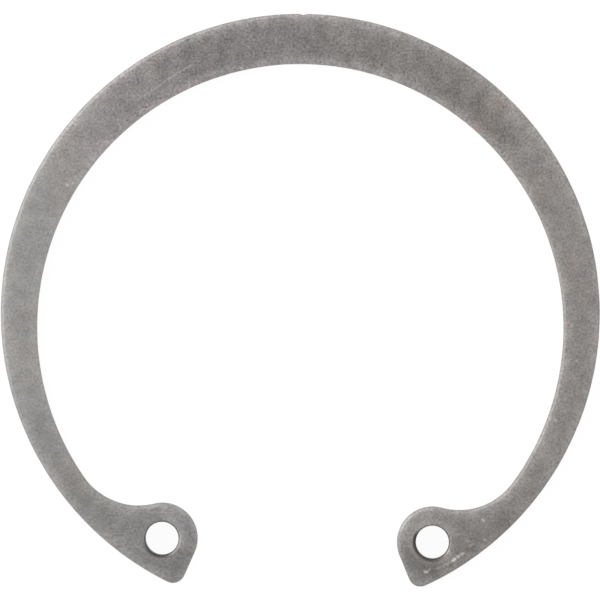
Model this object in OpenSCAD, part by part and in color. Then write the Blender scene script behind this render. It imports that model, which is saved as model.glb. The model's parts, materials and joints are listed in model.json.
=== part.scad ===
// Internal retaining ring (circlip), stamped from spring steel and tumbled, lying flat with
// its gap toward -Y. The origin is the centre of the outer rim, half way through the steel,
// and +Z is the ring's axis.
//
// The outline of one half is a chain of stretches that run smoothly into one another:
// rim, outer corner of the lug, end face, lug, hollow beside the lug, inner side of the beam.
// The lug touches the rim from inside, and its end face points at the centre of the ring.

/* [Ring] */
// Outer diameter of the free ring
free_d = 54.2; // [46:0.1:62]
// Thickness of the steel
thickness = 2; // [1.2:0.1:3]
// Width of the beam opposite the gap, where it is widest
beam_w = 4.55; // [3.5:0.05:5.5]
// Distance that the inner circle is moved toward the gap, which narrows the beam there
inner_shift = 1.28; // [0.8:0.01:1.7]

/* [Lugs] */
// Radius of the lug around the plier hole
lug_r = 3.2; // [2.6:0.1:3.8]
// Diameter of the plier hole
hole_d = 3; // [2.2:0.1:3.8]
// Angle between the middle of the gap and the end face of each lug
gap_half = 23.1; // [16:0.1:30]
// Radius of the hollow between the lug and the beam
hollow_r = 6; // [4:0.1:9]
// Radius of the outer corner of each lug
corner_r = 1.1; // [0.5:0.1:1.8]

/* [Edges] */
// Radius of the tumbled edges, all round and at the plier holes
edge_r = 0.3; // [0.1:0.05:0.5]

/* [Hidden] */
$fn = 144;
// Colour of the bare, matte steel
steel = [0.57, 0.56, 0.55];

rim_r = free_d / 2;
inner_r = rim_r - beam_w + inner_shift;
hole_r = hole_d / 2;

// Centres of the arcs of one half, turned so that the end face of its lug stands on x = 0
rim_c = [0, 0];
corner_c = [corner_r, -leg(rim_r - corner_r, corner_r)];
lug_c = [lug_r, -leg(rim_r - lug_r, lug_r)];
inner_c = inner_shift * [-sin(gap_half), -cos(gap_half)];
hollow_c = meet(inner_c, inner_r - hollow_r, lug_c, lug_r + hollow_r);

// The opening in the middle and the gap stop short of the edges that the other cuts shape
spare = 0.5;
spare_angle = 3;
opening_r = norm(lug_c - inner_c) - lug_r - edge_r - spare;
// Sizes of the cuts: past the steel, above it and to either side
reach = hollow_r + spare;
tall = 3 * thickness;
far = 2 * rim_r;
// Two neighbouring cuts that meet at a slanted line lap over each other by this much
lap = 0.0001;
// Flats round a rounded edge's circle
edge_steps = 32;
// Parts of a millimetre that places are rounded to
per_mm = 100;

// The other leg of a right triangle
function leg(slant, side) = sqrt(pow(slant, 2) - pow(side, 2));

// The point at distance ra from a and rb from b, on the left of the way from a to b
function meet(a, ra, b, rb) =
    let (span = norm(b - a), way = (b - a) / span)
    let (along = (pow(span, 2) + pow(ra, 2) - pow(rb, 2)) / (2 * span))
    a + along * way + leg(ra, along) * [-way[1], way[0]];

// Moves its children to p by a rounded step and then by the small rest, which keeps all decimals
module at(p) {
    step = [for (v = p) round(v * per_mm) / per_mm];
    translate(step)
        translate(p - step)
            children();
}

// All that lies on the right of the way from p to q, from by further on
module past(p, q, by = 0) {
    way = (q - p) / norm(q - p);
    right = [way[1], -way[0]];
    start = p + by * right;
    translate([0, 0, -tall])
        linear_extrude(2 * tall)
            polygon([
                start - far * way,
                start + far * way,
                start + far * (right + way),
                start + far * (right - way)
            ]);
}

// The lines at which one stretch of the outline ends and the next begins
module from_rim(by = 0) {
    past(rim_c, corner_c, by);
}

module from_corner(by = 0) {
    past(corner_c, [0, corner_c[1]], by);
}

module from_face(by = 0) {
    past(lug_c, [0, lug_c[1]], by);
}

module from_lug(by = 0) {
    past(lug_c, hollow_c, by);
}

module from_hollow(by = 0) {
    past(hollow_c, inner_c, by);
}

// Section of the air beside the steel, whose wall stands on x = 0 and has rounded edges
module air(depth) {
    wall = thickness / 2 - edge_r;
    difference() {
        translate([-edge_r, -tall / 2])
            square([edge_r + depth, tall]);
        translate([-edge_r, -wall])
            square([edge_r, 2 * wall]);
        for (side = [-1, 1])
            translate([-edge_r, side * wall])
                circle(edge_r, $fn = edge_steps);
    }
}

// The air around a round post
module outside(r) {
    rotate_extrude()
        translate([r, 0])
            air(reach);
}

// The air inside a round hole
module inside(r) {
    rotate_extrude()
        intersection() {
            translate([r, 0])
                mirror([1, 0])
                    air(far);
            translate([0, -far])
                square(2 * far);
        }
}

module rim_cut() {
    difference() {
        outside(rim_r);
        from_rim(lap);
    }
}

module corner_cut() {
    difference() {
        intersection() {
            at(corner_c)
                outside(corner_r);
            from_rim();
        }
        from_corner();
    }
}

module face_cut() {
    difference() {
        intersection() {
            rotate([90, 0, 0])
                linear_extrude(far)
                    mirror([1, 0])
                        air(reach);
            from_corner();
        }
        from_face();
    }
}

module lug_cut() {
    difference() {
        intersection() {
            at(lug_c)
                outside(lug_r);
            from_face();
        }
        from_lug();
    }
}

module hollow_cut() {
    difference() {
        intersection() {
            at(hollow_c)
                inside(hollow_r);
            from_lug(-lap);
        }
        from_hollow(lap);
    }
}

module beam_cut() {
    intersection() {
        at(inner_c)
            inside(inner_r);
        from_hollow();
    }
}

// The opening in the middle and the gap, between the cuts that shape the edges
module opening_cut() {
    at(inner_c)
        cylinder(r = opening_r, h = tall, center = true);
    translate([0, 0, -tall / 2])
        linear_extrude(tall)
            polygon([
                rim_c,
                far * [-sin(spare_angle), -cos(spare_angle)],
                far * [-sin(gap_half + spare_angle), -cos(gap_half + spare_angle)]
            ]);
}

// The half of the ring on the +X side
module half_ring() {
    intersection() {
        rotate([0, 0, gap_half])
            difference() {
                cylinder(r = rim_r, h = thickness, center = true);
                opening_cut();
                rim_cut();
                corner_cut();
                face_cut();
                lug_cut();
                hollow_cut();
                beam_cut();
                at(lug_c)
                    inside(hole_r);
            }
        translate([0, -far, -tall])
            cube([far, 2 * far, 2 * tall]);
    }
}

module retaining_ring() {
    color(steel)
        union() {
            half_ring();
            mirror([1, 0, 0])
                half_ring();
        }
}

retaining_ring();
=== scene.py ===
# %% [markdown]
# # A retaining ring of tumbled steel
#
# The part is an internal retaining ring, one flat piece of spring steel. It is stamped from
# strip, hardened, and tumbled with stones until its edges are round and its faces are matte.
# The measured solid comes first, as a fixed frame in metres, and nothing here moves it. Its
# box is kept.

# %% Load the measured solid
import json
import math

import bmesh
import bpy
import numpy as np
from mathutils import Matrix, Vector, noise
from mathutils.geometry import delaunay_2d_cdt


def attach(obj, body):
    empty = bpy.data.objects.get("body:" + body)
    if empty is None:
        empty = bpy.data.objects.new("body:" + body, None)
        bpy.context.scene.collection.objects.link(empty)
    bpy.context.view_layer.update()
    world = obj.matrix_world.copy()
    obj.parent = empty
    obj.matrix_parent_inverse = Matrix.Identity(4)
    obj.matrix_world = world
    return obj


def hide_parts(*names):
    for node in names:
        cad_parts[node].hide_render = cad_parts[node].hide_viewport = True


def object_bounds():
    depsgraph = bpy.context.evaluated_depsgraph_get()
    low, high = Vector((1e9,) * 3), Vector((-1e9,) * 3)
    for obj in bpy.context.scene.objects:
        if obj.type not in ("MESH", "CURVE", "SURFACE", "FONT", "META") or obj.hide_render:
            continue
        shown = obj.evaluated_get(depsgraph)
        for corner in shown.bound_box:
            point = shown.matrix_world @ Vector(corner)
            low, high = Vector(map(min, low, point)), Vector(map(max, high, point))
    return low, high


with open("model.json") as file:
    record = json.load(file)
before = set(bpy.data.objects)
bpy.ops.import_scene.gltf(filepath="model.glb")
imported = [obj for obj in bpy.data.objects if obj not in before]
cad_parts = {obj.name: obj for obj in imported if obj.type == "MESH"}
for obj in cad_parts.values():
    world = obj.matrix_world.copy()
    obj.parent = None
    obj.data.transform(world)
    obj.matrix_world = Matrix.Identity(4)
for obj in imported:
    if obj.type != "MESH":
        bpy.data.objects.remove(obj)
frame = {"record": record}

MM = 0.001
cad_low, cad_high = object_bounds()
print("box of the solid, mm:", [round(v / MM, 2) for v in cad_high - cad_low])

# %% [markdown]
# ## Sizes
#
# The interfaces in the record already hold most of the ring's sizes: the radius of the rim,
# the plier holes and their places, and the straight stretch of wall between the two rounded
# edges. The rest follows from how such a ring is drawn: each lug touches the rim from inside,
# and its end face is a line through the ring's centre that touches the lug. Only four sizes
# are left to write down, and they are the drawing's own.

# %% Read the sizes
beam_w = 4.55 * MM
inner_shift = 1.28 * MM
hollow_r = 6 * MM
corner_r = 1.1 * MM

mounts = {mount["name"]: mount for mount in frame["record"]["mounts"]}
rim_r = mounts["outer_rim"]["dims"]["r_mm"] * MM
hole_r = mounts["plier_hole_right"]["dims"]["r_mm"] * MM
half_thick = (cad_high.z - cad_low.z) / 2
wall_half = mounts["outer_rim"]["dims"]["length_mm"] * MM / 2
edge_r = half_thick - wall_half

lug_c = np.array(mounts["plier_hole_right"]["pos_m"][:2])
lug_reach = float(np.hypot(*lug_c))
lug_r = rim_r - lug_reach
gap_half = math.atan2(lug_c[0], -lug_c[1]) - math.asin(lug_r / lug_reach)
inner_r = rim_r - beam_w + inner_shift
inner_c = np.array([0, -inner_shift])
print(f"lug radius {lug_r / MM:.2f} mm, half of the gap {math.degrees(gap_half):.2f} degrees")

# %% [markdown]
# ## The outline
#
# Seen from above, half of the ring is a chain of arcs and one straight line that run smoothly
# into one another. A curve object with a bevel could follow them, but a list of points gives
# full control over every vertex, so that the rounded edge can be laid along the outline as
# even rows. Each point comes with the direction that points out of the steel there.

# %% Arcs that run into one another
STEP = 0.2 * MM


def angle_of(vector):
    """Direction of a vector in the plane, in radians."""
    return math.atan2(vector[1], vector[0])


def arc(centre, radius, start, end, side):
    """Points of an arc and the directions out of the steel. side is 1 on a bulge, -1 in a hollow."""
    steps = max(2, round(abs(end - start) * radius / STEP))
    angles = np.linspace(start, end, steps, endpoint=False)
    rays = np.stack([np.cos(angles), np.sin(angles)], axis=1)
    return centre + radius * rays, side * rays


def straight(start, end, out):
    """Points of a straight stretch, whose direction out of the steel is the same all along."""
    steps = max(2, round(math.dist(start, end) / STEP))
    share = np.linspace(0, 1, steps, endpoint=False)[:, None]
    return start + share * (end - start), np.tile(out, (steps, 1))


def meet(a, from_a, b, from_b):
    """The point at the given distances from a and b, on the left of the way from a to b."""
    span = math.dist(a, b)
    along = (span**2 + from_a**2 - from_b**2) / (2 * span)
    way = (b - a) / span
    return a + along * way + math.sqrt(from_a**2 - along**2) * np.array([-way[1], way[0]])


def half_outline():
    """From the top of the rim, round the lug on the +X side, to the top of the inner circle."""
    face_angle = gap_half - math.pi
    face_out = np.array([math.cos(face_angle), math.sin(face_angle)])
    down = np.array([math.sin(gap_half), -math.cos(gap_half)])
    corner_reach = math.sqrt((rim_r - corner_r) ** 2 - corner_r**2)
    corner_c = corner_reach * down - corner_r * face_out
    hollow_c = meet(inner_c, inner_r - hollow_r, lug_c, lug_r + hollow_r)
    to_hollow = angle_of(hollow_c - lug_c)
    from_inner = angle_of(hollow_c - inner_c)
    stretches = [
        arc(np.zeros(2), rim_r, math.pi / 2, angle_of(corner_c), 1),
        arc(corner_c, corner_r, angle_of(corner_c), face_angle, 1),
        straight(corner_c + corner_r * face_out, lug_c + lug_r * face_out, face_out),
        arc(lug_c, lug_r, face_angle, to_hollow - 2 * math.pi, 1),
        arc(hollow_c, hollow_r, to_hollow - math.pi, from_inner, -1),
        arc(inner_c, inner_r, from_inner, math.pi / 2, -1),
    ]
    last = inner_c + np.array([0, inner_r])
    points = np.vstack([points for points, _ in stretches] + [last])
    outs = np.vstack([outs for _, outs in stretches] + [[0, -1]])
    return points, outs


def whole_outline():
    """The closed outline: one half, and its mirror image walked back to the start."""
    points, outs = half_outline()
    flip = np.array([-1, 1])
    back = slice(-2, 0, -1)
    return np.vstack([points, flip * points[back]]), np.vstack([outs, flip * outs[back]])


def hole_outline(side):
    """A plier hole's circle. The steel is outside it."""
    return arc(lug_c * [side, 1], hole_r, 0, 2 * math.pi, -1)


print("points on half of the outline:", len(half_outline()[0]))

# %% [markdown]
# ## The section of an edge
#
# Tumbling leaves two things on a stamped edge: a tight round where the wall meets the face,
# and a slight roll of the face's last millimetre, which catches the light as a soft band. A
# bevel modifier makes only the first. Here both are one small table of steps from the middle
# of the wall to the face: how far in from the outline, and how high.

# %% Steps from the wall to the face
WALL_STEPS = 4
EDGE_STEPS = 6
OUTER_ROLL = {"width": 1.4 * MM, "depth": 0.1 * MM, "rows": [0.38, 0.48, 0.6, 0.74, 0.9]}
HOLE_ROLL = {"width": 0.6 * MM, "depth": 0.02 * MM, "rows": [0.36, 0.45, 0.55]}


def rolled(inset, roll):
    """How far the face has rolled down at a distance in from the edge."""
    return roll["depth"] * np.clip(1 - inset / roll["width"], 0, 1) ** 2


def section(roll):
    """Pairs of inset and height, from the last row on the lower face to that on the upper one."""
    upper = [(0, wall_half * k / WALL_STEPS) for k in range(WALL_STEPS)]
    for k in range(EDGE_STEPS + 1):
        turn = math.pi / 2 * k / EDGE_STEPS
        inset = edge_r * (1 - math.cos(turn))
        upper.append((inset, wall_half + edge_r * math.sin(turn) - rolled(inset, roll)))
    upper += [(row * MM, half_thick - rolled(row * MM, roll)) for row in roll["rows"]]
    return [(inset, -height) for inset, height in reversed(upper[1:])] + upper


edges = [
    (*whole_outline(), OUTER_ROLL),
    (*hole_outline(1), HOLE_ROLL),
    (*hole_outline(-1), HOLE_ROLL),
]
print("rows of vertices from face to face:", len(section(OUTER_ROLL)))
print("points on the outline:", len(edges[0][0]), "and on each hole:", len(edges[1][0]))

# %% [markdown]
# ## Wear on the shape
#
# Stones and other rings leave a tumbled face slightly uneven, and its edges a little ragged.
# Bump in the material can't show on an outline or in a low light, so what is larger than a
# row of vertices is in the mesh: slow waves and small dents on both faces, soft nicks along
# the edges, and the one notch that the photographed ring has at the top of its rim. Noise from
# fixed places and a seeded random generator give the same ring at each run.

# %% Waves, dents and nicks
WAVE_SIZE = 3 * MM
WAVE_HEIGHT = 0.006 * MM
DENT_COUNT = 260
DENT_R = (0.25 * MM, 0.7 * MM)
DENT_DEPTH = (0.004 * MM, 0.014 * MM)
NICK_SIZE = 1.2 * MM
NICK_DEPTH = 0.02 * MM
NOTCH_PLACE = np.array([-0.07 * MM, rim_r])
NOTCH_RADIUS = 0.35 * MM
NOTCH_DEPTH = 0.12 * MM
# Where each face and each outline reads the noise
FACE_LEVELS = {1: 3, -1: 5}
OUTLINE_STEP = 10
WEAR_SEED = 7
random = np.random.default_rng(WEAR_SEED)


def scatter_dents():
    """Places, radii and depths of the dents on one face."""
    turn = random.uniform(0, 2 * math.pi, DENT_COUNT)
    reach = random.uniform(inner_r - beam_w / 2, rim_r, DENT_COUNT)
    places = np.stack([reach * np.cos(turn), reach * np.sin(turn)], axis=1)
    return places, random.uniform(*DENT_R, DENT_COUNT), random.uniform(*DENT_DEPTH, DENT_COUNT)


def face_wear(points, dents, level):
    """How far each point of a face has been worn down."""
    waves = np.array([noise.noise(Vector((x / WAVE_SIZE, y / WAVE_SIZE, level))) for x, y in points])
    worn = WAVE_HEIGHT * (1 + waves) / 2
    for place, radius, depth in zip(*dents):
        away = np.hypot(*(points - place).T) / radius
        worn += depth * np.clip(1 - away**2, 0, 1) ** 2
    return worn


def nicks(points, level):
    """How far the edge is worn back at each point of an outline."""
    values = [noise.noise(Vector((x / NICK_SIZE, y / NICK_SIZE, level))) for x, y in points]
    worn = NICK_DEPTH * np.clip(values, 0, 1)
    away = np.hypot(*(points - NOTCH_PLACE).T) / NOTCH_RADIUS
    return worn + NOTCH_DEPTH * np.clip(1 - away**2, 0, 1) ** 2


dents = {1: scatter_dents(), -1: scatter_dents()}
print("dents on each face:", DENT_COUNT)

# %% [markdown]
# ## The field on each face
#
# The rows of vertices leave a flat field on each face, bounded by the last row of the outline
# and of the two holes. One large polygon would hold no dents and would shade badly, so the
# field is filled with points on a triangular grid, joined by a Delaunay triangulation that
# keeps the rows as its borders.

# %% Points of the field
GRID = 0.32 * MM


def inside(points, loops):
    """True for each point that an odd number of loop edges lies to the right of."""
    crossed = np.zeros(len(points), int)
    for loop in loops:
        for (ax, ay), (bx, by) in zip(loop, np.roll(loop, -1, axis=0)):
            spans = (ay > points[:, 1]) != (by > points[:, 1])
            at_x = ax + (points[spans, 1] - ay) * (bx - ax) / (by - ay)
            crossed[spans] += at_x > points[spans, 0]
    return crossed % 2 == 1


def distance(points, outline):
    """Distance of each point from the nearest point of an outline."""
    gaps = [np.hypot(*(outline - point).T).min() for point in points]
    return np.array(gaps)


def field_points(borders):
    """Points of a triangular grid inside the borders, with a margin of half a step."""
    row_gap = GRID * math.sin(math.pi / 3)
    columns = np.arange(-rim_r, rim_r, GRID)
    lines = np.arange(-rim_r, rim_r, row_gap)
    grid = np.array([(x + GRID / 2 * (k % 2), y) for k, y in enumerate(lines) for x in columns])
    grid = grid[inside(grid, borders)]
    for border in borders:
        grid = grid[distance(grid, border) > GRID / 2]
    return grid


borders = [outline - roll["rows"][-1] * MM * outs for outline, outs, roll in edges]
field = field_points(borders)
print("points in the field:", len(field), "on its borders:", [len(border) for border in borders])

# %% Fill the field with triangles
KEEP_ALL = 0
PRECISION = 1e-7
flat = np.vstack(borders + [field])
border_edges = []
start = 0
for border in borders:
    count = len(border)
    border_edges += [(start + k, start + (k + 1) % count) for k in range(count)]
    start += count
corners = [Vector(point / MM) for point in flat]
filled = delaunay_2d_cdt(corners, border_edges, [], KEEP_ALL, PRECISION, True)
cells, origins = filled[2], filled[3]
triangles = np.array([[origins[corner][0] for corner in cell] for cell in cells])
middles = flat[triangles].mean(axis=1)
triangles = triangles[inside(middles, borders)]
print("triangles on each face:", len(triangles))

# %% [markdown]
# ## The ring's mesh
#
# The rows are laid along each outline and joined with quads, and the field closes both faces.
# A solidify modifier on a flat face would be quicker, but it knows no rolled edge. Each vertex
# also keeps how far in from the edge it lies, and whether it belongs to a plier hole, because
# the finish follows both.

# %% Rows and fields in one mesh
def add_rows(outline, outs, roll, level):
    """Vertices of every row along an outline, and each vertex's inset."""
    worn_back = nicks(outline, level)
    places, insets = [], []
    for inset, height in section(roll):
        share = max(0, 1 - inset / (roll["rows"][-1] * MM))
        plan = outline - (inset + share * worn_back)[:, None] * outs
        places.append(np.column_stack([plan, np.full(len(plan), height)]))
        insets.append(np.full(len(plan), inset))
    return places, insets


def build_ring():
    """One closed mesh: a band of rows along each outline, and a field of triangles on each face."""
    places, insets, bores, quads, first = [], [], [], [], 0
    last_rows = {1: [], -1: []}
    for number, (outline, outs, roll) in enumerate(edges):
        band, band_insets = add_rows(outline, outs, roll, OUTLINE_STEP * number)
        count, row_count = len(outline), len(band)
        here = np.arange(count)
        after = np.roll(here, -1)
        for k in range(row_count - 1):
            low = first + k * count
            high = low + count
            quads.append(np.column_stack([low + here, low + after, high + after, high + here]))
        last_rows[-1].append(first + here)
        last_rows[1].append(first + (row_count - 1) * count + here)
        places += band
        insets += band_insets
        bores.append(np.full(count * row_count, float(number > 0)))
        first += count * row_count
    depths = [distance(field, outline) for outline, _, _ in edges]
    field_insets = np.min(depths, axis=0)
    field_rolled = sum(rolled(depth, roll) for depth, (_, _, roll) in zip(depths, edges))
    faces = []
    for side in (1, -1):
        level = side * (half_thick - field_rolled)
        places.append(np.column_stack([field, level]))
        insets.append(field_insets)
        bores.append(np.zeros(len(field)))
        index = np.concatenate(last_rows[side] + [first + np.arange(len(field))])
        faces.append(index[triangles] if side > 0 else index[triangles][:, ::-1])
        first += len(field)
    return np.vstack(places), np.concatenate(insets), np.concatenate(bores), quads, faces


def wear_down(places):
    """Lowers both faces by their waves and dents; the walls keep their place."""
    for side, level in FACE_LEVELS.items():
        on_face = side * places[:, 2] > wall_half
        share = np.clip((side * places[on_face, 2] - wall_half) / edge_r, 0, 1)
        places[on_face, 2] -= side * share * face_wear(places[on_face, :2], dents[side], level)
    return places


places, insets, bores, quads, faces = build_ring()
places = wear_down(places)
print("vertices:", len(places), "height of the highest, mm:", round(places[:, 2].max() / MM, 4))

# %% The ring in place of the solid
mesh = bpy.data.meshes.new("retaining_ring_steel")
mesh.from_pydata(places.tolist(), [], np.vstack(quads).tolist() + np.vstack(faces).tolist())
for name, values in (("inset_mm", insets / MM), ("bore", bores)):
    attribute = mesh.attributes.new(name, "FLOAT", "POINT")
    attribute.data.foreach_set("value", values.astype(np.float32))
shape = bmesh.new()
shape.from_mesh(mesh)
bmesh.ops.recalc_face_normals(shape, faces=shape.faces)
open_edges = sum(not edge.is_manifold for edge in shape.edges)
volume = shape.calc_volume()
shape.to_mesh(mesh)
shape.free()
mesh.shade_smooth()
ring = bpy.data.objects.new("retaining_ring_steel", mesh)
bpy.context.scene.collection.objects.link(ring)
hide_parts("retaining_ring")
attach(ring, "root")
print("open edges:", open_edges, "faces:", len(mesh.polygons), "volume, mm3:", round(volume / MM**3, 1))

# %% [markdown]
# ## Camera
#
# The ring was photographed lying flat, from almost straight above, with a long lens. Its
# outline shows hardly any wall, so the camera leans by no more than two degrees, to the upper
# right. An orthographic camera would do as well, but a distant perspective one behaves the
# same and also serves the other views.

# %% Place the camera
FRAME_PX = 600
CENTRE_PX = np.array([300.25, 313.37])
RIM_PX = 299.45
CLOCKWISE = math.radians(0.76)
LEAN = np.array([0.025, 0.022])
CAMERA_DISTANCE = 1.0
SENSOR = 36

px_size = rim_r / RIM_PX
image_right = np.array([math.cos(CLOCKWISE), math.sin(CLOCKWISE)])
image_up = np.array([-math.sin(CLOCKWISE), math.cos(CLOCKWISE)])


def on_ring(px_x, px_y):
    """The place in the ring's plane, in metres, that a pixel of the photograph shows."""
    right, down = (np.array([px_x, px_y]) - CENTRE_PX) * px_size
    return right * image_right - down * image_up


def photo_camera():
    """A camera that frames the ring as the photograph does."""
    aim = Vector((*on_ring(FRAME_PX / 2, FRAME_PX / 2), 0))
    lean = LEAN[0] * image_right + LEAN[1] * image_up
    back = Vector((*lean, 1)).normalized()
    right = Vector((*image_up, 0)).cross(back).normalized()
    data = bpy.data.cameras.new("photo_camera")
    data.sensor_width = SENSOR
    data.lens = SENSOR * CAMERA_DISTANCE / (FRAME_PX * px_size)
    camera = bpy.data.objects.new("photo_camera", data)
    turn = Matrix((right, back.cross(right), back)).transposed()
    camera.matrix_world = Matrix.Translation(aim + CAMERA_DISTANCE * back) @ turn.to_4x4()
    bpy.context.scene.collection.objects.link(camera)
    bpy.context.scene.camera = camera
    return camera


camera = photo_camera()
print("lens, mm:", round(camera.data.lens), "size of a pixel, mm:", round(px_size / MM, 4))

# %% [markdown]
# ## Patches on the mesh
#
# The tone of the ring changes in patches, partly its own uneven tone and partly painted light
# and shade, which are soft and many times wider than the space between two vertices. They need
# no shader nodes: a patch's strength is worked out once at each vertex and kept with the mesh,
# where the material reads it. Each patch lies round a line or an arc, and a slow noise makes
# its border ragged. Painting the vertices by hand would give the same, but a place and a width
# in the script can be changed and run again.

# %% Helpers for patches
RIPPLE_SIZE = 2 * MM
RIPPLE_SHARE = 0.5

plan = places[:, :2]
ripples = np.array([noise.noise(Vector((x / RIPPLE_SIZE, y / RIPPLE_SIZE, 0))) for x, y in plan])


def soft_step(values):
    """0 up to 0, 1 from 1 on, and a smooth step between them."""
    share = np.clip(values, 0, 1)
    return share * share * (3 - 2 * share)


def near(spots, width):
    """1 at a vertex that lies on its spot, and 0 from a width's distance on."""
    away = np.hypot(*(plan - spots).T) / (width * MM)
    return soft_step(1 - away + RIPPLE_SHARE * ripples)


def on_arc(centre, radius, first, last):
    """The point of an arc between two directions that each vertex is nearest to."""
    middle = (first + last) / 2
    half = (last - first) / 2
    x, y = (plan - centre).T
    turned = (np.degrees(np.arctan2(y, x)) - middle + 180) % 360 - 180
    turn = np.radians(middle + np.clip(turned, -half, half))
    return centre + radius * np.stack([np.cos(turn), np.sin(turn)], axis=1)


def on_line(start, end):
    """The point of a line that each vertex is nearest to."""
    along = end - start
    share = np.clip((plan - start) @ along / (along @ along), 0, 1)
    return start + share[:, None] * along


def along_beam(first, last, width):
    """A patch that follows the middle of the beam."""
    return near(on_arc(np.zeros(2), rim_r - beam_w / 2, first, last), width)


def between_pixels(start, end, width):
    """A patch along the line between two pixels of the photograph."""
    return near(on_line(on_ring(*start), on_ring(*end)), width)


print("vertices:", len(plan), "ripples from", round(ripples.min(), 2), "to", round(ripples.max(), 2))

# %% [markdown]
# ## Tone
#
# The stones reach the edges of a ring best. The steel is lighter toward them, partly from
# their burnish and partly as painted sheen where the rolled edge catches the light. On the
# round itself a painted highlight makes it lightest, but it is left out at the lower right of
# the rim, the side away from the light. Along the beam the tone changes in long patches, given
# by their first and last direction from the ring's centre in degrees: partly uneven tone, and
# partly painted light on the left and painted shade on the right and toward both lugs, as the
# light falls from the upper left. Small marks, mostly painted light and shade along the rim,
# are given by two pixels of the photograph. Widths are millimetres, and a change is a share
# of the tone.

# %% Tone at each vertex
# Lighter toward every edge: partly burnish, partly painted sheen of the rolled edge in the light
POLISH_AND_SHEEN = 0.22
POLISH_AND_SHEEN_WIDTH = 1.2 * MM
# Painted highlight on the round of the outer edges
PAINTED_RIM_HIGHLIGHT = 0.35
PAINTED_RIM_HIGHLIGHT_WIDTH = 0.22 * MM
ROUND_FADE = 0.1 * MM
# Stretch of the rim away from the light, which gets no painted highlight and stays in painted shade
SHADED_RIM = (-68, 28)
SHADED_RIM_WIDTH = 2.5
# Patches along the beam: uneven tone, with painted light on the left and painted shade on the right and
# toward both lugs
# First and last direction, width, change, share of the change at the edges
PATCHES = {
    "dark where the beam is widest": (52, 110, 10, -0.18, 0.35),
    "stain at the upper right": (45, 57, 3, -0.08, 0),
    "painted light on the left": (155, 192, 8, 0.15, 0.5),
    "painted shade before the left lug": (220, 226, 4, -0.08, 0.3),
    "painted shade before the right lug": (-50, -40, 5, -0.1, 0.3),
    "painted shade on the right": (-16, 2, 5, -0.06, 0.3),
    "painted shade at the end of the left lug": (241, 248, 4, -0.28, 1),
    "painted shade at the end of the right lug": (-68, -63, 3, -0.34, 1),
}
# Painted light and shade along the rim, lighter at its upper right, darker at its lower right, and a few
# spots of uneven tone
# Two pixels, width, change
TONE_AND_PAINTED_LIGHT = [
    ((440, 573), (500, 533), 1.6, -0.17),
    ((500, 533), (545, 489), 1.2, -0.15),
    ((550, 482), (584, 405), 1.2, -0.1),
    ((586, 400), (595, 360), 0.9, -0.07),
    ((412, 515), (404, 528), 0.9, 0.13),
    ((450, 545), (460, 532), 1.2, -0.1),
    ((420, 562), (412, 550), 0.8, 0.06),
    ((190, 518), (193, 540), 1.0, -0.14),
    ((138, 562), (152, 568), 1.2, 0.09),
    ((120, 530), (140, 538), 1.2, -0.07),
    ((98, 522), (106, 528), 1.2, -0.06),
    ((375, 29), (395, 33), 1.2, 0.18),
    ((440, 56), (455, 65), 1.0, 0.08),
    ((495, 98), (525, 132), 1.4, 0.2),
    ((340, 68), (380, 78), 0.9, 0.15),
    ((533, 175), (545, 205), 1.2, -0.1),
    ((320, 42), (345, 44), 1.4, -0.06),
    ((468, 108), (482, 120), 1.2, -0.06),
    ((82, 148), (95, 135), 1.6, -0.06),
    ((558, 235), (570, 280), 1.0, -0.05),
    ((597, 310), (587, 235), 0.7, -0.1),
]

# Burnish and painted sheen toward the edges
edge_share = soft_step(1 - insets / POLISH_AND_SHEEN_WIDTH)
tone = 1 + POLISH_AND_SHEEN * edge_share
# Patches of tone, painted light and painted shade along the beam
for first, last, width, change, at_edges in PATCHES.values():
    tone *= 1 + change * along_beam(first, last, width) * (1 - (1 - at_edges) * edge_share)
# Painted light and shade along the rim, and a few spots of uneven tone
for start, end, width, change in TONE_AND_PAINTED_LIGHT:
    tone *= 1 + change * between_pixels(start, end, width)
# Painted highlight on the round, left out on the rim away from the light
on_round = soft_step((np.abs(places[:, 2]) - wall_half) / ROUND_FADE)
painted_rim_highlight = PAINTED_RIM_HIGHLIGHT * on_round * soft_step(1 - insets / PAINTED_RIM_HIGHLIGHT_WIDTH) * (1 - bores)
tone *= 1 + painted_rim_highlight * (1 - near(on_arc(np.zeros(2), rim_r, *SHADED_RIM), SHADED_RIM_WIDTH))
print("darkest and lightest tone:", round(tone.min(), 2), round(tone.max(), 2))

# %% [markdown]
# ## Grain, warmth and tint
#
# Three more things change from place to place. The grain is finer on the left side than at
# the top. The right side is a little warmer than the left. Thin films of oil and oxide leave
# faint tints, hardly stronger than the eye can see, on the upper face alone.

# %% Grain, warmth and tint at each vertex
# First and last direction, width, change of the grain's strength
GRAIN_PATCHES = {
    "smooth left side": (160, 215, 8, -0.3),
    "speckled top": (42, 125, 8, 0.3),
}
# First and last direction, width
WARM_STRETCH = (-50, 130, 14)
PINK = (1.045, 1, 0.99)
OLIVE = (1.01, 1, 0.965)
BLUE = (1, 1, 1.035)
# Two pixels, width, factors of red, green and blue
TINTS = [
    ((571.5, 257), (572, 280), 0.7, PINK),
    ((541, 178), (541, 192), 1.1, PINK),
    ((478, 128), (500, 105), 1.4, PINK),
    ((580, 284), (581, 296), 1.0, OLIVE),
    ((86, 485), (105, 501), 1.2, OLIVE),
    ((142, 111), (93, 157), 2.2, BLUE),
    ((300, 38), (95, 130), 8, BLUE),
    ((187, 522), (190, 536), 1.5, BLUE),
]

grain = np.ones(len(plan))
for first, last, width, change in GRAIN_PATCHES.values():
    grain += change * along_beam(first, last, width)
warm = along_beam(*WARM_STRETCH)
tint = np.ones((len(plan), 4))
for start, end, width, factors in TINTS:
    share = between_pixels(start, end, width) * (places[:, 2] > 0)
    tint[:, :3] += share[:, None] * (np.array(factors) - tint[:, :3])
print("share of the vertices that is warm:", round(warm.mean(), 2), "tints:", len(TINTS))

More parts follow.
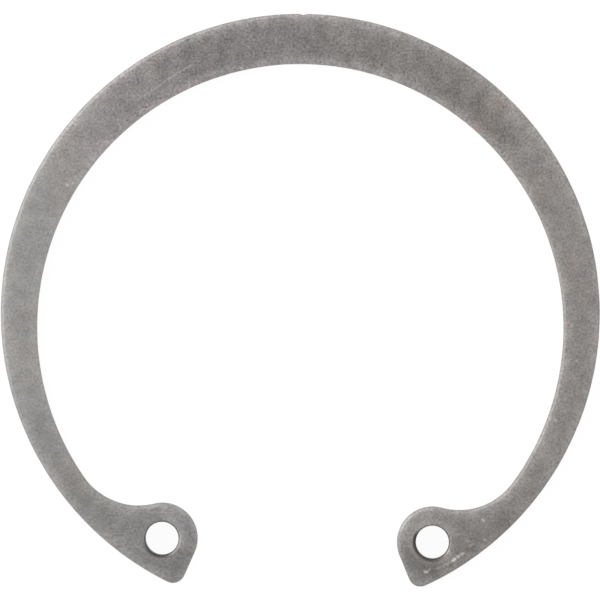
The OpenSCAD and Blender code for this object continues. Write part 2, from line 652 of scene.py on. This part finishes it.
# %% [markdown]
# ## Soot and painted shade in the plier holes
#
# Tumbling stones are too large for the plier holes, so scale from the hardening stays in them.
# It shows as a dark crescent on the side where the camera sees the wall, and the crescent is
# partly that scale and partly painted shade on the wall that faces away from the light. It is
# kept as one more value at the vertices of the holes, so that it ends at the hole's edge.

# %% Soot and painted shade at each vertex, and all values kept with the mesh
# Crescents of soot and painted shade on the wall of each hole away from the light
# Side of the ring, first and last direction, strength
SOOT_AND_SHADE = {
    "left of the right hole": (1, 160, 215, 1),
    "below the right hole": (1, 215, 300, 0.78),
    "below the left hole": (-1, 205, 280, 0.75),
}
SOOT_AND_SHADE_WIDTH = 0.8

soot_and_shade = np.zeros(len(plan))
for side, first, last, strength in SOOT_AND_SHADE.values():
    spots = on_arc(lug_c * [side, 1], hole_r, first, last)
    soot_and_shade = np.maximum(soot_and_shade, strength * bores * near(spots, SOOT_AND_SHADE_WIDTH))
for name, values in {"tone": tone, "grain": grain, "soot_and_shade": soot_and_shade, "warm": warm}.items():
    ring.data.attributes.new(name, "FLOAT", "POINT").data.foreach_set("value", values)
ring.data.attributes.new("tint", "FLOAT_COLOR", "POINT").data.foreach_set("color", tint.ravel())
print("kept with the mesh:", [attribute.name for attribute in ring.data.attributes])

# %% [markdown]
# ## Node helpers
#
# The finish is put together from shader nodes. Written out by hand, each node takes several
# lines, so a few helpers make one in a single call, with its inputs set or linked by name.

# %% Groups and nodes
FLOAT, VECTOR = "NodeSocketFloat", "NodeSocketVector"


def new_group(name, inputs, outputs):
    """An empty shader group with the named sockets, and its two end nodes."""
    group = bpy.data.node_groups.new(name, "ShaderNodeTree")
    for direction, sockets in (("INPUT", inputs), ("OUTPUT", outputs)):
        for socket, kind in sockets.items():
            group.interface.new_socket(name=socket, in_out=direction, socket_type=kind)
    return group, group.nodes.new("NodeGroupInput").outputs, group.nodes.new("NodeGroupOutput").inputs


def put(tree, kind, inputs, **settings):
    """A node with its settings, whose inputs are set to a value or linked to a socket."""
    node = tree.nodes.new(kind)
    for name, value in settings.items():
        setattr(node, name, value)
    for name, value in inputs.items():
        if isinstance(value, bpy.types.NodeSocket):
            tree.links.new(value, node.inputs[name])
        else:
            node.inputs[name].default_value = value
    return node


def from_group(tree, group, **inputs):
    """The outputs of a group that is placed in a tree."""
    return put(tree, "ShaderNodeGroup", inputs, node_tree=group).outputs


def kept(tree, name, output="Fac"):
    """What the mesh keeps under a name."""
    return put(tree, "ShaderNodeAttribute", {}, attribute_name=name).outputs[output]


print("helpers:", [helper.__name__ for helper in (new_group, put, from_group, kept)])

# %% Sums, masks and mixes
def maths(tree, operation, *values, clamp=False):
    """The result of a Math node on values or sockets."""
    inputs = dict(enumerate(values))
    return put(tree, "ShaderNodeMath", inputs, operation=operation, use_clamp=clamp).outputs[0]


def product(tree, *factors):
    """The product of values or sockets."""
    result = factors[0]
    for factor in factors[1:]:
        result = maths(tree, "MULTIPLY", result, factor)
    return result


def vectors(tree, operation, *values, output="Vector"):
    """The result of a Vector Math node on vectors or sockets."""
    inputs = dict(enumerate(values))
    return put(tree, "ShaderNodeVectorMath", inputs, operation=operation).outputs[output]


def scaled(tree, vector, factor):
    """A vector or a colour times a factor."""
    inputs = {0: vector, "Scale": factor}
    return put(tree, "ShaderNodeVectorMath", inputs, operation="SCALE").outputs["Vector"]


def fade(tree, value, full, none):
    """1 up to full, 0 from none on, and a smooth step between them."""
    inputs = {"Value": value, "From Min": full, "From Max": none, "To Min": 1.0, "To Max": 0.0}
    node = put(tree, "ShaderNodeMapRange", inputs, interpolation_type="SMOOTHSTEP")
    return node.outputs["Result"]


def mixed(tree, share, below, above):
    """One colour laid over another. The Mix node's colour sockets have no names of their own."""
    inputs = {0: share, 6: below, 7: above}
    return put(tree, "ShaderNodeMix", inputs, data_type="RGBA").outputs[2]


print("helpers:", [helper.__name__ for helper in (maths, product, vectors, scaled, fade, mixed)])

# %% [markdown]
# ## Uneven tone
#
# No two square millimetres of tumbled steel are the same grey. The same kind of unevenness
# shows at several sizes: clouds where the stones rubbed longer, a mottle, and the fine grain
# of their marks. One noise of many octaves gives too little control, so one group makes the
# tone waver at a given size in millimetres, and the material uses it once for each size.

# %% Group for uneven tone
NOISE_MIDDLE = 0.5


def make_uneven():
    """Tone that wavers round 1, and the noise behind it."""
    group, given, result = new_group(
        "uneven_tone",
        {"Place": VECTOR, "Size": FLOAT, "Amount": FLOAT, "Detail": FLOAT},
        {"Tone": FLOAT, "Noise": FLOAT},
    )
    scale = maths(group, "DIVIDE", 1.0, given["Size"])
    inputs = {"Vector": given["Place"], "Scale": scale, "Detail": given["Detail"]}
    grey = put(group, "ShaderNodeTexNoise", inputs).outputs["Fac"]
    centred = maths(group, "SUBTRACT", grey, NOISE_MIDDLE)
    wavering = maths(group, "MULTIPLY_ADD", centred, given["Amount"], 1.0)
    group.links.new(wavering, result["Tone"])
    group.links.new(grey, result["Noise"])
    return group


uneven_group = make_uneven()
print("group:", uneven_group.name, [item.name for item in uneven_group.interface.items_tree])

# %% [markdown]
# ## Flecks and pits
#
# Between the grain lie single spots: bright ones where a stone's corner has just hit, and dark
# pits that the stones never reached. Noise gives no single spots, but a Voronoi texture
# divides the surface into cells, and a spot is put in a few of them, picked by their colour.

# %% Group for flecks
CORE_SHARE = 0.4


def make_flecks():
    """A mask of small spots: one may lie in each cell, and only a share of the cells has one."""
    group, given, result = new_group(
        "flecks",
        {"Place": VECTOR, "Spacing": FLOAT, "Radius": FLOAT, "Share": FLOAT},
        {"Mask": FLOAT},
    )
    scale = maths(group, "DIVIDE", 1.0, given["Spacing"])
    cells = put(group, "ShaderNodeTexVoronoi", {"Vector": given["Place"], "Scale": scale}).outputs
    away = maths(group, "MULTIPLY", cells["Distance"], given["Spacing"])
    core = maths(group, "MULTIPLY", given["Radius"], CORE_SHARE)
    spot = fade(group, away, core, given["Radius"])
    luck = put(group, "ShaderNodeSeparateColor", {"Color": cells["Color"]}).outputs["Red"]
    chosen = maths(group, "LESS_THAN", luck, given["Share"])
    group.links.new(product(group, spot, chosen), result["Mask"])
    return group


flecks_group = make_flecks()
print("group:", flecks_group.name, [item.name for item in flecks_group.interface.items_tree])

# %% [markdown]
# ## Hits and scratches
#
# Some marks have a place of their own on this ring: a row of hits under one plier hole, a few
# scratches, and single dark spots. They are finer than the mesh, so they can't be kept at its
# vertices, and painting them on an image would tie them to one resolution. This group takes
# the two ends of a stroke and its width, and gives a soft mask with a ragged border. All
# strokes share one noise, because one for each would make the shader too large to render.

# %% Group for strokes
def make_stroke():
    """A mask along the line from Start to End, soft at its border and ragged by Waver."""
    group, given, result = new_group(
        "stroke",
        {"Place": VECTOR, "Start": VECTOR, "End": VECTOR, "Width": FLOAT, "Waver": FLOAT},
        {"Mask": FLOAT},
    )
    along = vectors(group, "SUBTRACT", given["End"], given["Start"])
    reach = vectors(group, "SUBTRACT", given["Place"], given["Start"])
    ahead = vectors(group, "DOT_PRODUCT", reach, along, output="Value")
    span = vectors(group, "DOT_PRODUCT", along, along, output="Value")
    share = maths(group, "DIVIDE", ahead, span, clamp=True)
    away = vectors(group, "DISTANCE", reach, scaled(group, along, share), output="Value")
    ragged = maths(group, "MULTIPLY_ADD", given["Waver"], given["Width"], away)
    group.links.new(fade(group, ragged, 0.0, given["Width"]), result["Mask"])
    return group


stroke_group = make_stroke()
print("group:", stroke_group.name, [item.name for item in stroke_group.interface.items_tree])

# %% Places of the hits and pits
# Two pixels of the photograph, width in millimetres, strength
HITS = [
    ((437, 568.5), (452, 560.5), 0.16, 0.1),
    ((439, 567.5), (440.5, 567), 0.17, 0.18),
    ((447, 563.5), (449, 562.5), 0.16, 0.18),
    ((453, 560), (455, 558.8), 0.22, 0.55),
    ((458, 556.5), (459, 556), 0.2, 0.45),
    ((462, 553.6), (463.5, 552.6), 0.18, 0.32),
    ((425, 571.5), (427.5, 571.5), 0.2, 0.4),
    ((429, 569.5), (430, 569), 0.15, 0.2),
    ((450, 551), (450.5, 553.5), 0.15, 0.15),
    ((482.5, 519), (484, 520.5), 0.18, 0.3),
    ((484, 539.5), (485, 539), 0.17, 0.2),
    ((470, 545), (473, 543.5), 0.18, 0.12),
    ((456, 535), (462, 533.5), 0.18, 0.09),
    ((466, 540), (469, 541), 0.18, 0.09),
    ((241.5, 68), (242.5, 69), 0.18, 0.4),
    ((67, 185), (68, 185.5), 0.17, 0.3),
    ((75, 124), (76, 125), 0.17, 0.18),
    ((555, 419.5), (556, 420), 0.17, 0.22),
    ((572, 324), (572, 326), 0.17, 0.15),
    ((576, 360), (577, 361), 0.2, 0.17),
    ((353, 62), (357, 62), 0.5, 0.035),
    ((377, 73), (381, 74), 0.5, 0.04),
    ((115, 526), (117, 527), 0.35, 0.06),
    ((140, 99), (166, 81), 0.12, 0.11),
    ((168, 79.5), (192, 65), 0.12, 0.16),
    ((148, 507.5), (168, 506.5), 0.12, 0.09),
    ((150, 512.5), (172, 512.5), 0.12, 0.08),
    ((146, 503.5), (160, 502.5), 0.12, 0.09),
]
# Pixel of the photograph
PITS = [
    (450.5, 565.5),
    (457.5, 551.5),
    (467.5, 548.5),
    (470.5, 538.5),
    (424.5, 566.5),
    (413.5, 554.5),
    (503.5, 512.5),
    (337.5, 43.5),
    (340.5, 35.5),
    (325.5, 37.5),
    (176.5, 66.5),
    (230.5, 30.5),
    (146.5, 107.5),
    (513.5, 137.5),
    (471.5, 103.5),
]
PIT_WIDTH = 0.2
print("hits and scratches:", len(HITS), "single pits:", len(PITS))

# %% [markdown]
# ## Colour of the bare steel
#
# Bare spring steel after tumbling is a matte grey, here and there a little warmer. Its tone is
# the product of the clouds, the mottle, the grain and what the mesh keeps. The walls were
# sheared by the stamping tool, which draws fine lines from face to face: a noise that is
# stretched along the ring's axis, and fades out where the wall ends.

# %% Grey, warm and drawn
STEEL = (0.245, 0.241, 0.235, 1)
WARM = (0.258, 0.241, 0.2295, 1)
TONES = {
    "cloud": {"Size": 4.5, "Amount": 0.4, "Detail": 2.0},
    "mottle": {"Size": 1.1, "Amount": 0.53, "Detail": 5.0},
    "grain": {"Size": 0.2, "Amount": 1.15, "Detail": 2.0},
}
WARMTH = {"Size": 2.5, "Amount": 2.4, "Detail": 2.0}
WARMTH_LEVEL = 0.8
DRAWN = {"Size": 0.16, "Amount": 1.0, "Detail": 2.0}
DRAWN_STRETCH = (1, 1, 0.08)
DRAWN_TONE = 0.9
WALL_FADE = 0.15


def drawn_lines(tree, place, inset):
    """Fine lines across the wall, above and below 0, and 0 on the faces."""
    stretched = vectors(tree, "MULTIPLY", place, DRAWN_STRETCH)
    lines = from_group(tree, uneven_group, Place=stretched, **DRAWN)["Noise"]
    centred = maths(tree, "SUBTRACT", lines, NOISE_MIDDLE)
    return product(tree, centred, fade(tree, inset, 0.0, WALL_FADE))


def tone_of(tree, layers, lines):
    """All that makes the steel lighter or darker, as one factor."""
    waver = product(tree, *(layer["Tone"] for layer in layers.values()))
    waver = maths(tree, "SUBTRACT", waver, 1.0)
    waver = maths(tree, "MULTIPLY_ADD", waver, kept(tree, "grain"), 1.0)
    line_tone = maths(tree, "MULTIPLY_ADD", lines, DRAWN_TONE, 1.0)
    return product(tree, waver, kept(tree, "tone"), line_tone)


def bare_colour(tree, place, tone):
    """Grey or warm steel, tinted, times its tone."""
    warmth = from_group(tree, uneven_group, Place=place, **WARMTH)["Tone"]
    warmth = maths(tree, "SUBTRACT", warmth, WARMTH_LEVEL)
    share = maths(tree, "ADD", warmth, kept(tree, "warm"), clamp=True)
    tinted = vectors(tree, "MULTIPLY", mixed(tree, share, STEEL, WARM), kept(tree, "tint", "Color"))
    return scaled(tree, tinted, tone)


print("sizes of the tone's layers, mm:", [layer["Size"] for layer in TONES.values()])

# %% [markdown]
# ## Marks on the steel
#
# Flecks, pits and hits are laid over the bare colour, each as a mix with a lighter or darker
# metal. The flecks and pits follow the grain's strength, so that the smooth side has fewer.

# %% Flecks, pits and hits
BRIGHT = (0.5, 0.49, 0.48, 1)
GLINT = (0.95, 0.93, 0.91, 1)
DARK = (0.06, 0.055, 0.052, 1)
FLECKS = {"Spacing": 0.4, "Radius": 0.08, "Share": 0.25}
FLECK_STRENGTH = 0.3
FIELD_PITS = {"Spacing": 0.5, "Radius": 0.12, "Share": 0.3}
PIT_STRENGTH = 0.4
WAVER = {"Size": 0.14, "Amount": 1.0, "Detail": 2.0}
WAVER_SHARE = 1.8


def stroke(tree, place, waver, start, end, width):
    """A stroke's mask between two pixels of the photograph, on the upper face."""
    height = half_thick / MM
    ends = {"Start": (*(on_ring(*start) / MM), height), "End": (*(on_ring(*end) / MM), height)}
    return from_group(tree, stroke_group, Place=place, Width=width, Waver=waver, **ends)["Mask"]


def marked(tree, place, colour, pits):
    """The colour with its flecks, its pits and its hits."""
    waver = from_group(tree, uneven_group, Place=place, **WAVER)["Tone"]
    waver = product(tree, maths(tree, "SUBTRACT", waver, 1.0), WAVER_SHARE)
    for pit in PITS:
        pits = maths(tree, "MAXIMUM", pits, stroke(tree, place, waver, pit, pit, PIT_WIDTH))
    hits = 0.0
    for start, end, width, strength in HITS:
        hit = product(tree, stroke(tree, place, waver, start, end, width), strength)
        hits = maths(tree, "MAXIMUM", hits, hit)
    flecks = from_group(tree, flecks_group, Place=place, **FLECKS)["Mask"]
    grain_share = kept(tree, "grain")
    colour = mixed(tree, product(tree, flecks, grain_share, FLECK_STRENGTH), colour, BRIGHT)
    colour = mixed(tree, product(tree, pits, grain_share, PIT_STRENGTH), colour, DARK)
    return mixed(tree, hits, colour, GLINT)


print("strokes in the shader:", len(HITS) + len(PITS))

# %% [markdown]
# ## Edges and plier holes
#
# The last rows before an edge are lighter, partly burnished because the stones meet them from
# all sides and partly painted sheen, and rougher to the light. The plier holes are darkened
# inside by painted shade and have their soot and painted shade, which ends sharply on the
# round of the hole.

# %% Burnish and painted sheen, painted shade and soot
# Burnish and painted sheen: lighter steel at the edges
BURNISH_AND_SHEEN = 0.15
BURNISH_AND_SHEEN_WIDTH = 0.35
# Painted shade on the walls of the plier holes: where it fades in, and how dark
BORE_FADE = (0.02, 0.08)
BORE_DARKNESS = 0.6
CRESCENT_FADE = (0.26, 0.31)


def burnish_and_sheen_mask(tree, inset):
    """1 at the edges of the outline, and 0 on the faces and in the plier holes."""
    outer = maths(tree, "SUBTRACT", 1.0, kept(tree, "bore"))
    return product(tree, fade(tree, inset, 0.0, BURNISH_AND_SHEEN_WIDTH), outer)


def edged(tree, inset, colour, burnish_and_sheen):
    """The colour with its edges lighter by burnish and painted sheen, and its plier holes darker by
    painted shade and by soot.
    """
    # Burnish and painted sheen on the edges
    colour = mixed(tree, product(tree, burnish_and_sheen, BURNISH_AND_SHEEN), colour, BRIGHT)
    # Painted shade on the walls of the plier holes
    on_bore = product(tree, fade(tree, inset, *BORE_FADE), kept(tree, "bore"), BORE_DARKNESS)
    # Crescent of soot and painted shade in the plier holes
    crescent = product(tree, fade(tree, inset, *CRESCENT_FADE), kept(tree, "soot_and_shade"))
    return mixed(tree, maths(tree, "MAXIMUM", on_bore, crescent), colour, DARK)


print("burnished width, mm:", BURNISH_AND_SHEEN_WIDTH)

# %% [markdown]
# ## Tumbled steel
#
# The ring has one material, a metal with a broad, soft reflection. A mirror-like metal would
# show the studio, and a diffuse paint would stay flat when the view turns. The mottle makes
# its gloss uneven, and the grain, the pits and the drawn lines give a shallow bump, which
# breaks the reflection up into specks.

# %% The steel
ROUGHNESS = 0.38
MOTTLE_ROUGHNESS = 0.2
EDGE_ROUGHNESS = 0.25
PIT_RELIEF = 0.6
LINE_RELIEF = 1.5
BUMP = {"Strength": 0.5, "Distance": 0.02 * MM}


def tumbled_steel():
    """The ring's one material."""
    material = bpy.data.materials.new("tumbled_steel")
    material.use_nodes = True
    tree = material.node_tree
    shader = tree.nodes["Principled BSDF"]
    place = scaled(tree, put(tree, "ShaderNodeTexCoord", {}).outputs["Object"], 1 / MM)
    inset = kept(tree, "inset_mm")
    layers = {name: from_group(tree, uneven_group, Place=place, **layer) for name, layer in TONES.items()}
    lines = drawn_lines(tree, place, inset)
    pits = from_group(tree, flecks_group, Place=place, **FIELD_PITS)["Mask"]
    burnish_and_sheen = burnish_and_sheen_mask(tree, inset)

    colour = bare_colour(tree, place, tone_of(tree, layers, lines))
    colour = marked(tree, place, colour, pits)
    tree.links.new(edged(tree, inset, colour, burnish_and_sheen), shader.inputs["Base Color"])
    shader.inputs["Metallic"].default_value = 1.0
    rough = maths(tree, "MULTIPLY_ADD", layers["mottle"]["Noise"], MOTTLE_ROUGHNESS, ROUGHNESS)
    rough = maths(tree, "MULTIPLY_ADD", burnish_and_sheen, EDGE_ROUGHNESS, rough)
    tree.links.new(rough, shader.inputs["Roughness"])

    relief = maths(tree, "ADD", layers["grain"]["Noise"], layers["mottle"]["Noise"])
    relief = maths(tree, "SUBTRACT", relief, product(tree, pits, PIT_RELIEF))
    relief = maths(tree, "MULTIPLY_ADD", lines, LINE_RELIEF, relief)
    bump = put(tree, "ShaderNodeBump", {"Height": relief, **BUMP})
    tree.links.new(bump.outputs["Normal"], shader.inputs["Normal"])
    return material


ring.data.materials.append(tumbled_steel())
print("nodes in the steel:", len(ring.data.materials[0].node_tree.nodes))

# %% [markdown]
# ## Floor and background
#
# The photograph's ground is pure white. More light would bleach the steel, so the floor and
# the world are made white only for the rays that the camera and the metal see. The floor
# still takes a faint shadow, and the world lights evenly at a plain level.

# %% White floor and even sky
FLOOR_SIZE = 4.0
WHITE = (1, 1, 1, 1)
FLOOR_PAINT = (0.8, 0.8, 0.8, 1)
FLOOR_GLOW = 1.06
GLOW_SHARE = 0.88
SKY = 0.75


def seen_rays(tree):
    """1 for the rays that see a background: camera, glossy and transmission rays."""
    rays = put(tree, "ShaderNodeLightPath", {}).outputs
    first = maths(tree, "MAXIMUM", rays["Is Camera Ray"], rays["Is Glossy Ray"])
    return maths(tree, "MAXIMUM", first, rays["Is Transmission Ray"])


def floor_paint():
    """Pale paint, which glows a little for the rays that see it."""
    material = bpy.data.materials.new("white_floor")
    material.use_nodes = True
    tree = material.node_tree
    tree.nodes.clear()
    paint = put(tree, "ShaderNodeBsdfDiffuse", {"Color": FLOOR_PAINT})
    glow = put(tree, "ShaderNodeEmission", {"Strength": FLOOR_GLOW})
    share = product(tree, seen_rays(tree), GLOW_SHARE)
    mix = put(tree, "ShaderNodeMixShader", {0: share, 1: paint.outputs[0], 2: glow.outputs[0]})
    put(tree, "ShaderNodeOutputMaterial", {"Surface": mix.outputs[0]})
    return material


def white_floor():
    """A wide floor on which the ring lies."""
    half = FLOOR_SIZE / 2
    corners = [(x, y, cad_low.z) for x, y in ((-half, -half), (half, -half), (half, half), (-half, half))]
    floor_mesh = bpy.data.meshes.new("white_floor")
    floor_mesh.from_pydata(corners, [], [(0, 1, 2, 3)])
    floor_mesh.materials.append(floor_paint())
    floor = bpy.data.objects.new("white_floor", floor_mesh)
    bpy.context.scene.collection.objects.link(floor)


def even_sky():
    """A world that lights evenly and is white for the rays that see it."""
    world = bpy.data.worlds.new("even_sky")
    world.use_nodes = True
    tree = world.node_tree
    tree.nodes.clear()
    light = put(tree, "ShaderNodeBackground", {"Color": WHITE, "Strength": SKY})
    white = put(tree, "ShaderNodeBackground", {"Color": WHITE, "Strength": 1.0})
    shaders = {0: seen_rays(tree), 1: light.outputs[0], 2: white.outputs[0]}
    mix = put(tree, "ShaderNodeMixShader", shaders)
    put(tree, "ShaderNodeOutputWorld", {"Surface": mix.outputs[0]})
    bpy.context.scene.world = world


white_floor()
even_sky()
print("floor at, mm:", round(cad_low.z / MM, 3), "light of the sky:", SKY)

# %% [markdown]
# ## Lamps
#
# A broad, tall lamp at the upper left gives the rolled edges their light band there, as a
# window would. A much weaker one at the right keeps the other side from going flat. Small,
# strong lamps would draw hard lines along the edges, which the photograph doesn't have.

# %% Two soft lamps
def soft_lamp(name, place, width, height, power):
    """A rectangular lamp that faces the ring, with its height along the way up from the floor."""
    data = bpy.data.lights.new(name, "AREA")
    data.shape = "RECTANGLE"
    data.size = width
    data.size_y = height
    data.energy = power
    lamp = bpy.data.objects.new(name, data)
    lamp.location = place
    lamp.rotation_euler = Vector(place).to_track_quat("Z", "Y").to_euler()
    bpy.context.scene.collection.objects.link(lamp)


soft_lamp("key_lamp", place=(-0.18, 0.115, 0.12), width=0.4, height=0.24, power=0.5)
soft_lamp("fill_lamp", place=(0.22, 0, 0.13), width=0.3, height=0.14, power=0.05)
bpy.context.scene.view_settings.view_transform = "Standard"
print("lamps:", {lamp.name: round(lamp.energy, 2) for lamp in bpy.data.lights})
